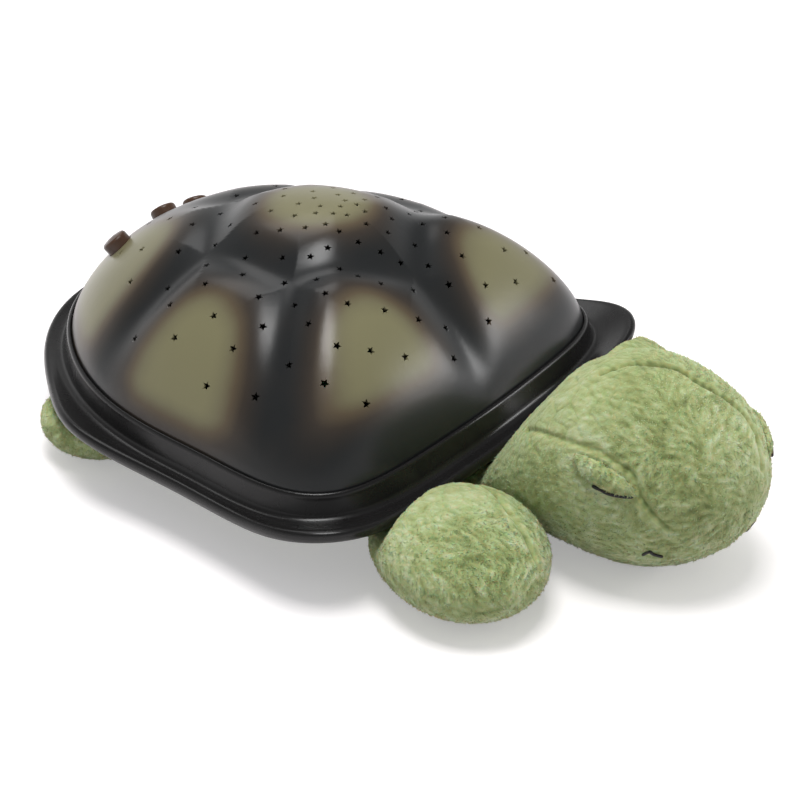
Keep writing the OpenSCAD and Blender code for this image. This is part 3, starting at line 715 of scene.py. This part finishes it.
def stuffed(node, shrink, cap, voxel):
    """The node's solid as a full fabric skin, in metres."""
    mesh = with_modifiers(nodes[node].data.copy(), [
        ("REMESH", {"mode": "VOXEL", "voxel_size": voxel}),
        ("SMOOTH", {"factor": 0.5, "iterations": 2}),
        ("DISPLACE", {"strength": -shrink, "mid_level": 0.0, "direction": "NORMAL"})])
    mesh.vertices.foreach_set("co", swell(mesh.copy(), cap).ravel())
    mesh.vertices.foreach_set("co", settled(mesh, node, SETTLE_INSET * shrink, SETTLE_SHARE).ravel())
    mesh.update()
    return with_modifiers(mesh, [("SMOOTH", {"factor": 0.5, "iterations": 1}),
                                 ("SUBSURF", {"levels": SUBDIVISIONS, "render_levels": SUBDIVISIONS})])


def wobble(points, scale, seed):
    """Smooth noise from -1 to 1 at points in metres."""
    shift = Vector((seed * 7.31, seed * 3.17, seed * 5.71))
    return np.array([noise.noise(Vector(p) * scale + shift) for p in points])


def smooth_line(places, steps=16):
    """A smooth curve through the places."""
    places = np.array(places, float)
    f = np.linspace(0, len(places) - 1, steps * (len(places) - 1) + 1)
    i = np.minimum(f.astype(int), len(places) - 2)
    a, b, c, d = (places[np.clip(i + k, 0, len(places) - 1)] for k in (-1, 0, 1, 2))
    u = (f - i)[:, None]
    return 0.5 * (2 * b + (c - a) * u + (2 * a - 5 * b + 4 * c - d) * u**2 + (3 * b - a - 3 * c + d) * u**3)


def tree_of(points):
    tree = KDTree(len(points))
    for k, p in enumerate(points):
        tree.insert(p, k)
    tree.balance()
    return tree


def distances(points, tree):
    """How far each point is from the tree's nearest one."""
    return np.array([tree.find(p)[2] for p in points])


def scatter(mesh, count, seed):
    """Random points on the mesh: their places and normals, and the generator for more draws."""
    mesh.calc_loop_triangles()
    tri = np.empty(len(mesh.loop_triangles) * 3, np.int32)
    mesh.loop_triangles.foreach_get("vertices", tri)
    tri = tri.reshape(-1, 3)
    co, normal = of_points(mesh, "co"), of_points(mesh, "normal")
    area = np.linalg.norm(np.cross(co[tri[:, 1]] - co[tri[:, 0]], co[tri[:, 2]] - co[tri[:, 0]]), axis=1)
    rng = np.random.default_rng(seed)
    chosen = tri[rng.choice(len(tri), count, p=area / area.sum())]
    u, v = rng.random(count), rng.random(count)
    over = u + v > 1
    u[over], v[over] = 1 - u[over], 1 - v[over]
    weight = np.stack([1 - u - v, u, v], 1)
    place = (co[chosen] * weight[..., None]).sum(1)
    n = (normal[chosen] * weight[..., None]).sum(1)
    return place, n / np.linalg.norm(n, axis=1, keepdims=True), rng


def scale_lines(mesh, spacing, seed):
    """0 on the borders of an irregular scale pattern, growing to the middle of each scale."""
    centres = []
    for p in scatter(mesh, SCALE_TRIES, seed)[0]:
        if all(np.linalg.norm(p - q) > spacing for q in centres):
            centres.append(p)
    tree = tree_of(centres)
    found = [tree.find_n(p, 2) for p in of_points(mesh, "co")]
    return np.array([f[1][2] - f[0][2] for f in found])


def under_rim(points):
    """True where a point in metres would be inside the rim or pan."""
    p = in_shell(points)
    s, t = shell_place(p[:, :2])
    beyond = (s - 1) * np.linalg.norm(foot(t), axis=1)
    pan_low = 19.5
    low = np.where(beyond < 0, pan_low, BRIM_Z - 0.4)
    return (beyond < BRIM_W + LOBE_W * lobe(t) + 0.5) & (p[:, 2] > low)


def pile_way(points, normal, lay, seed):
    """Which way the pile is brushed at each point: a general lay with swirls in it."""
    way = np.array(lay, float) + 1.6 * np.stack([wobble(points, 48.0, seed + k) for k in range(3)], 1)
    way -= (way * normal).sum(1, keepdims=True) * normal
    return way / np.maximum(np.linalg.norm(way, axis=1, keepdims=True), 1e-9)


def brushed(points, way, seed, scale=560.0, reach=0.0008):
    """Noise drawn out along the pile, from -1 to 1."""
    return sum(wobble(points + k * reach * way, scale, seed) for k in (-1.5, -0.5, 0.5, 1.5)) / 2.2


def pile_mesh(mesh, count, seed, length, lay, shorter):
    """Short closed pointed tufts: points, faces and shades. shorter(points) scales their length."""
    place, normal, rng = scatter(mesh, count, seed)
    way = pile_way(place, normal, lay, seed) + 0.5 * rng.normal(size=place.shape)
    way -= (way * normal).sum(1, keepdims=True) * normal
    way /= np.linalg.norm(way, axis=1, keepdims=True)
    long = length * (0.6 + 0.8 * rng.random(count)) * shorter(place)
    lift = 0.25 + 0.35 * rng.random(count)
    tip = place + (normal * lift[:, None] + way * np.sqrt(1 - lift**2)[:, None]) * long[:, None]
    tip[:, 2] = np.maximum(tip[:, 2], GROUND_CLEAR)
    kept = (long > 0.0005) & ~under_rim(tip)
    place, normal, tip, way = place[kept], normal[kept], tip[kept], way[kept]
    across = np.cross(normal, way)
    root = place - TUFT_ROOT * normal
    half = TUFT_WIDTH * (0.7 + 0.6 * rng.random(len(place)))[:, None] / 2
    back = root - across * half * 0.6
    corners = [root + across * half, back + way * half, back - way * half]
    points = np.stack([*corners, tip], 1).reshape(-1, 3)
    base = (np.arange(len(place)) * 4)[:, None, None]
    faces = (base + np.array([[0, 1, 3], [1, 2, 3], [2, 0, 3], [0, 2, 1]])).reshape(-1, 3)
    shade = 0.24 * rng.random(len(place)) - 0.04
    # A tuft's tip is 0.14 lighter than its root: painted shade towards the roots of the pile.
    values = np.stack([shade, shade, shade, shade + 0.14], 1).ravel()
    return points, faces, values


def laid_on(co, skin, rise):
    """A flap's points drawn down to the skin it is sewn to, its underside just below that skin."""
    sunk = 0.0006
    for i, point in enumerate(co):
        near, normal, _, _ = skin.find_nearest(Vector(point))
        height = (Vector(point) - near).dot(normal)
        co[i] = near + normal * (rise * height - sunk)
    return co


def make_plush(name, node, seed, tufts, lay, shrink=0.002, cap=0.0025, seams=(), scales=None, voxel=VOXEL,
               length=0.0012, rise=None):
    """A stuffed piece: swollen skin, seams, embossed scales near its root, and a brushed short pile; seams
    and scale lines get painted shade.

    scales is the place of the root and how far the scales reach from it. rise lays a flap on the head's skin.
    """
    mesh = stuffed(node, shrink, cap, voxel)
    co, normal = of_points(mesh, "co"), of_points(mesh, "normal")
    if rise:
        co = laid_on(co, skins["stuffed_head"], rise)
    way = pile_way(co, normal, lay, seed)
    patch, clump, strand = wobble(co, 28.0, seed + 6), wobble(co, 150.0, seed + 4), brushed(co, way, seed + 5)
    surface = BVHTree.FromPolygons(co.tolist(), [list(p.vertices) for p in mesh.polygons])
    sewn = [surface.find_nearest(Vector(p))[0] for line in seams for p in smooth_line(line)]
    seam_tree = tree_of(sewn or [FAR_AWAY])
    seam_crease = np.exp(-((distances(co, seam_tree) / SEAM_WIDTH) ** 2))
    near, scale_groove = np.zeros(len(co)), np.zeros(len(co))
    if scales:
        near = 1 - smoothstep(np.linalg.norm(co - scales[0], axis=1), scales[1] * 0.45, scales[1])
        scale_groove = near * np.exp(-((scale_lines(mesh, SCALE_SPACING, seed + 3) / SCALE_WIDTH) ** 2))
    rough = 1 - 0.5 * near
    depth = 0.0005 * wobble(co, 26.0, seed + 1) + 0.0001 * wobble(co, 80.0, seed)
    depth += rough * (0.00022 * strand + 0.0001 * clump) - SEAM_DEPTH * seam_crease - SCALE_DEPTH * scale_groove
    shade = 0.5 + rough * (0.5 * strand + 0.3 * clump) + 0.3 * patch
    # Painted shade: the sunk seams and scale lines are painted darker than the fabric round them, as if shade
    # lay in their grooves.
    shade += 0.08 * near - 0.4 * seam_crease - 0.17 * scale_groove
    co += normal * depth[:, None]
    co[:, 2] = np.maximum(co[:, 2], GROUND_CLEAR)
    mesh.vertices.foreach_set("co", co.ravel())
    mesh.update()

    def shorter(points):
        scale = 0.2 + 0.8 * smoothstep(distances(points, seam_tree), 0.0008, 0.004)
        if scales:
            reach = np.linalg.norm(points - scales[0], axis=1)
            scale *= 0.4 + 0.6 * smoothstep(reach, scales[1] * 0.5, scales[1])
        return scale

    points, faces, values = pile_mesh(mesh, tufts, seed, length, lay, shorter)
    fabric = [list(p.vertices) for p in mesh.polygons]
    skins[name] = BVHTree.FromPolygons(co.tolist(), fabric)
    joined = bpy.data.meshes.new(name)
    joined.from_pydata(np.concatenate([co, points]).tolist(), [], fabric + (faces + len(co)).tolist())
    joined.update()
    joined.shade_smooth()
    # A tuft takes the shade of the fabric under it.
    tone = tree_of(co)
    under = shade[[tone.find(p)[1] for p in points[::4]]]
    point_values(joined, "pile", np.concatenate([shade, np.repeat(under, 4) + values]))
    bpy.data.meshes.remove(mesh)
    piece = dress(add_piece(name, joined, [node]), "plush")


def head_skin(turn, lift):
    """A point on the head's round in metres, in degrees round it from straight ahead."""
    a, b = math.radians(turn), math.radians(lift)
    ray = np.array([math.cos(b) * math.sin(a), -math.cos(b) * math.cos(a), math.sin(b)])
    return in_world(HEAD_CENTRE + HEAD_RADII * ray)


# Seams: both sides of the strip over the head in the shell's frame, and along a foot in its own frame.
NEAR_SEAM = [(-25, -112.8, 52.5), (-31.4, -122.2, 58.1), (-36.6, -137.9, 62.1), (-37.4, -151.3, 63.2),
             (-37.6, -158.7, 61.8), (-37.3, -167.2, 58.5), (-38.3, -171.7, 51.3), (-37.5, -175.8, 46),
             (-34, -181.9, 38.7)]
FAR_SEAM = [(-11.8, -136.6, 79.2), (-3.5, -144.4, 82.9), (0.3, -150.7, 82.9), (5.5, -160.6, 81.8),
            (4.9, -169.6, 79.6), (8.7, -178.4, 74.9), (11.2, -186, 69.5), (10.3, -192.1, 63.5), (4, -198, 52)]
FOOT_SEAM = [(30, -16, 31), (55, -17.7, 36.7), (70, -17, 37.2), (80, -17.7, 35), (87, -17.5, 32.4),
             (92, -17.8, 29.8)]
LASH = [(-42.8, -153.7, 51.3), (-42.6, -157.4, 50.9), (-42.0, -160.5, 50.1), (-41.0, -165.0, 50.2),
        (-39.5, -169.5, 50.8)]
MOUTH = [(-33.9, -171.9, 22.3), (-34.3, -175.1, 25.5), (-33.0, -176.2, 24.1), (-30.0, -178.8, 22.4)]
LASH_R, LASH_PROUD, STITCH_R, STITCH_PROUD = 0.7, 0.9, 0.6, 0.4
FRONT_ROOT, FRONT_TURN = (36.0, -58.0), {"right": 29.5, "left": 50.0}


def on_face(places, grow, mirrored=False):
    """Places on the head moved to the stuffed head's skin plus grow, or mirrored to the face's other side."""
    ray = (np.array(places, float) - HEAD_CENTRE) / HEAD_RADII
    turn = np.degrees(np.arctan2(ray[:, 0], -ray[:, 1]))
    lift = np.degrees(np.arcsin(ray[:, 2] / np.linalg.norm(ray, axis=1)))
    turn = -turn - 2 * FACE_TURN if mirrored else turn
    found = [skins["stuffed_head"].find_nearest(Vector(head_skin(a, b))) for a, b in zip(turn, lift)]
    return [np.array(place + normal * grow * MM) for place, normal, _, _ in found]


def foot_point(side, u, across, height):
    """A point on a front foot in metres: u along it, across it and up, in millimetres."""
    sign = -1 if side == "right" else 1
    local = turned(sign * FRONT_TURN[side]) @ np.array([sign * across, -u, 0])
    return (np.array([sign * FRONT_ROOT[0], FRONT_ROOT[1] + SHELL_Y, height]) + local) * MM


def make_all_plush():
    """Head, feet, tail and body, then the flaps that are sewn on the head."""
    make_plush("stuffed_head", "plush_head", 11, 20000, (0.25, 1.0, -0.35),
               seams=[in_world(NEAR_SEAM), in_world(FAR_SEAM)],
               scales=(in_world((-12.0, -112.0, 76.0)), 0.060))
    for side, out, seed in (("right", -1, 21), ("left", 1, 31)):
        seam = [foot_point(side, *place) for place in FOOT_SEAM]
        make_plush(f"stuffed_front_{side}_foot", f"front_{side}_foot", seed, 11000, (0.3 * out, -1.0, -0.2),
                   seams=[seam], scales=(foot_point(side, 34, 0, 36), 0.045))
        make_plush(f"stuffed_rear_{side}_foot", f"rear_{side}_foot", seed + 5, 5000, (0.5 * out, 0.6, -0.4),
                   voxel=0.004)
    make_plush("stuffed_tail", "plush_tail", 41, 900, (0, 1.0, -0.3), shrink=0.001, cap=0.0012, voxel=0.003,
               length=0.0015)
    make_plush("stuffed_body", "plush_body", 51, 4000, (0, 0.3, -1.0), shrink=0.0008, cap=0.0008, voxel=0.004)
    # The photo hides the left eye, so its flap lies flatter than the right one.
    for side, out, seed, rise in (("right", -1, 61, 0.66), ("left", 1, 62, 0.42)):
        make_plush(f"{side}_eyelid_flap", f"{side}_eyelid", seed, 350, (-0.2 * out, 0.6, -1.0),
                   shrink=0.0003, cap=0.0004, voxel=0.0016, rise=rise)


# ---- black thread ----
def make_thread(name, path, radius, sides=8):
    """A round thread of a radius in metres along a list of points in metres."""
    curve = smooth_line(path, 8)
    way = np.gradient(curve, axis=0)
    way /= np.linalg.norm(way, axis=1, keepdims=True)
    side = np.cross(way, [0, 0, 1.0])
    side /= np.linalg.norm(side, axis=1, keepdims=True)
    up = np.cross(side, way)
    taper = np.sqrt(np.clip(1 - np.abs(np.linspace(-1, 1, len(curve))) ** 12, 0.05, 1))[:, None] * radius
    angles = np.arange(sides) * 2 * math.pi / sides
    rings = [curve + taper * (math.cos(a) * side + math.sin(a) * up) for a in angles]
    points = np.stack(rings, 1).reshape(-1, 3)
    last = (len(curve) - 1) * sides
    caps = [list(range(sides))[::-1], [last + k for k in range(sides)]]
    faces = [list(f) for f in ring_faces(sides, len(curve))] + caps
    mesh = mesh_of(name, in_shell(points), faces)
    mesh.shade_smooth()
    mesh.materials.append(THREAD)
    add_piece(name, mesh)


def make_threads():
    """The closed eyes' lash lines and the small stitches at the corners of the mouth."""
    for name, mirrored in (("right", False), ("left", True)):
        make_thread(f"{name}_lash_line", on_face(LASH, LASH_PROUD, mirrored), LASH_R * MM)
        make_thread(f"{name}_mouth_stitch", on_face(MOUTH, STITCH_PROUD, mirrored), STITCH_R * MM)


# ---- carried-over pieces ----
def dress_cad_nodes():
    """Materials for the CAD nodes that stay as they are, and soft edges on the larger ones."""
    slots = {row["node"]: row["material_slot"] for row in frame["record"]["subparts"]}
    for name, node in nodes.items():
        if node.hide_render:
            continue
        dress(node, slots[name])
        if name in ("base_pan", "battery_door", "switch_bracket"):
            edge = node.modifiers.new("soft_edges", "BEVEL")
            edge.width, edge.segments, edge.limit_method = 0.0004, 2, "ANGLE"


# ---- stage, lamps and camera, in metres and degrees ----
CAMERA_AZ, CAMERA_EL, CAMERA_FAR, CAMERA_FOV = -53.0, 30.5, 0.80275, 24.0
CAMERA_AIM, LAMP_AIM = Vector((0.00727, 0.00092, 0.01985)), Vector((0, 0, 0.05))


def towards(azimuth, elevation):
    """The direction from the object towards a place round it."""
    a, e = math.radians(azimuth), math.radians(elevation)
    return Vector((math.sin(a) * math.cos(e), -math.cos(a) * math.cos(e), math.sin(e)))


def aimed(name, data, place, azimuth, elevation, far):
    """A camera or lamp that looks at a place from afar."""
    made = free_object(name, data)
    back = towards(azimuth, elevation)
    made.location = place + back * far
    made.rotation_mode = "QUATERNION"
    made.rotation_quaternion = (-back).to_track_quat("-Z", "Y")
    return made


def make_camera():
    """The photo's view."""
    data = bpy.data.cameras.new("camera")
    data.sensor_width = 36.0
    data.lens = data.sensor_width / 2 / math.tan(math.radians(CAMERA_FOV / 2))
    bpy.context.scene.camera = aimed("camera", data, CAMERA_AIM, CAMERA_AZ, CAMERA_EL, CAMERA_FAR)


def make_lamp(name, azimuth, elevation, far, size, watts):
    """An area lamp that faces the object."""
    data = bpy.data.lights.new(name, "AREA")
    data.shape, data.size, data.size_y = "RECTANGLE", size[0], size[1]
    data.energy = watts
    aimed(name, data, LAMP_AIM, azimuth, elevation, far)


def seen_instead(tree, lit, seen, rays=("Is Camera Ray", "Is Glossy Ray", "Is Transmission Ray")):
    """The lit shader, with the seen one in its place for the rays of some kinds."""
    link = tree.links.new
    path = tree.nodes.new("ShaderNodeLightPath")
    share = path.outputs[rays[0]]
    for kind in rays[1:]:
        total = tree.nodes.new("ShaderNodeMath")
        total.operation, total.use_clamp = "ADD", True
        link(share, total.inputs[0])
        link(path.outputs[kind], total.inputs[1])
        share = total.outputs[0]
    return mixed(tree, share, lit, seen)


def mixed(tree, share, first, second):
    """The first shader, with a share of the second."""
    mix = tree.nodes.new("ShaderNodeMixShader")
    for value, socket in zip((share, first, second), mix.inputs):
        tree.links.new(value, socket)
    return mix.outputs[0]


def map_range(tree, value, spans):
    """The value carried smoothly from one span to another: (from min, from max, to min, to max)."""
    node = tree.nodes.new("ShaderNodeMapRange")
    node.interpolation_type = "SMOOTHSTEP"
    for key, number in zip(("From Min", "From Max", "To Min", "To Max"), spans):
        node.inputs[key].default_value = number
    tree.links.new(value, node.inputs["Value"])
    return node.outputs[0]


def floor_material():
    """Grey paper for the object's light, and a white floor with the object's shadow where it is seen."""
    made = bpy.data.materials.new("pale_floor")
    made.use_nodes = True
    tree = made.node_tree
    link = tree.links.new
    tree.nodes.clear()
    out = tree.nodes.new("ShaderNodeOutputMaterial")
    paper, paper_seen = (tree.nodes.new("ShaderNodeBsdfDiffuse") for _ in range(2))
    paper.inputs["Color"].default_value = (0.62, 0.60, 0.60, 1)
    paper_seen.inputs["Color"].default_value = (0.80, 0.765, 0.765, 1)
    glow, white = (tree.nodes.new("ShaderNodeEmission") for _ in range(2))
    glow.inputs["Strength"].default_value = 0.34
    near = tree.nodes.new("ShaderNodeAddShader")
    link(paper_seen.outputs[0], near.inputs[0])
    link(glow.outputs[0], near.inputs[1])
    # Away from the object, where it casts no shadow, the floor is as white as the backdrop.
    place = tree.nodes.new("ShaderNodeNewGeometry")
    away = tree.nodes.new("ShaderNodeVectorMath")
    away.operation = "LENGTH"
    link(place.outputs["Position"], away.inputs[0])
    far = map_range(tree, away.outputs["Value"], (0.45, 1.3, 0.0, 1.0))
    seen = mixed(tree, far, near.outputs[0], white.outputs[0])
    link(seen_instead(tree, paper.outputs[0], seen), out.inputs["Surface"])
    return made


def make_floor():
    half = 6.0
    corners = [(-half, -half, 0), (half, -half, 0), (half, half, 0), (-half, half, 0)]
    mesh = bpy.data.meshes.new("floor")
    mesh.from_pydata(corners, [], [(0, 1, 2, 3)])
    mesh.materials.append(floor_material())
    free_object("floor", mesh)


def make_world():
    """Even light for the object, a white backdrop for the camera, and a dim ceiling in the gloss."""
    world = bpy.data.worlds.new("studio")
    world.use_nodes = True
    bpy.context.scene.world = world
    tree = world.node_tree
    link = tree.links.new
    fill = tree.nodes["Background"]
    fill.inputs["Color"].default_value = (0.95, 0.97, 1.0, 1)
    fill.inputs["Strength"].default_value = 0.5
    # Reflections see the white backdrop near the horizon and the dim ceiling of a studio above it.
    mirrored = tree.nodes.new("ShaderNodeBackground")
    place = tree.nodes.new("ShaderNodeTexCoord")
    split = tree.nodes.new("ShaderNodeSeparateXYZ")
    link(place.outputs["Generated"], split.inputs[0])
    link(map_range(tree, split.outputs["Z"], (0.2, 0.6, 1.0, 0.2)), mirrored.inputs["Strength"])
    white = tree.nodes.new("ShaderNodeBackground")
    white.inputs["Color"].default_value = (1, 1, 1, 1)
    lit = seen_instead(tree, fill.outputs[0], mirrored.outputs[0], ("Is Glossy Ray", "Is Transmission Ray"))
    seen = seen_instead(tree, lit, white.outputs[0], ("Is Camera Ray",))
    link(seen, tree.nodes["World Output"].inputs["Surface"])


make_camera()
make_floor()
make_world()
make_lamp("overhead_softbox", -75, 83, 1.5, (0.66, 0.52), 16.0)
make_lamp("face_softbox", 46, 17, 1.5, (0.36, 0.3), 4.0)
make_lamp("rear_softbox", 150, 52, 2.0, (1.2, 0.9), 7.5)

make_shell()
make_rim()
make_buttons()
make_all_plush()
make_threads()
dress_cad_nodes()

bpy.context.scene.view_settings.view_transform = "Standard"
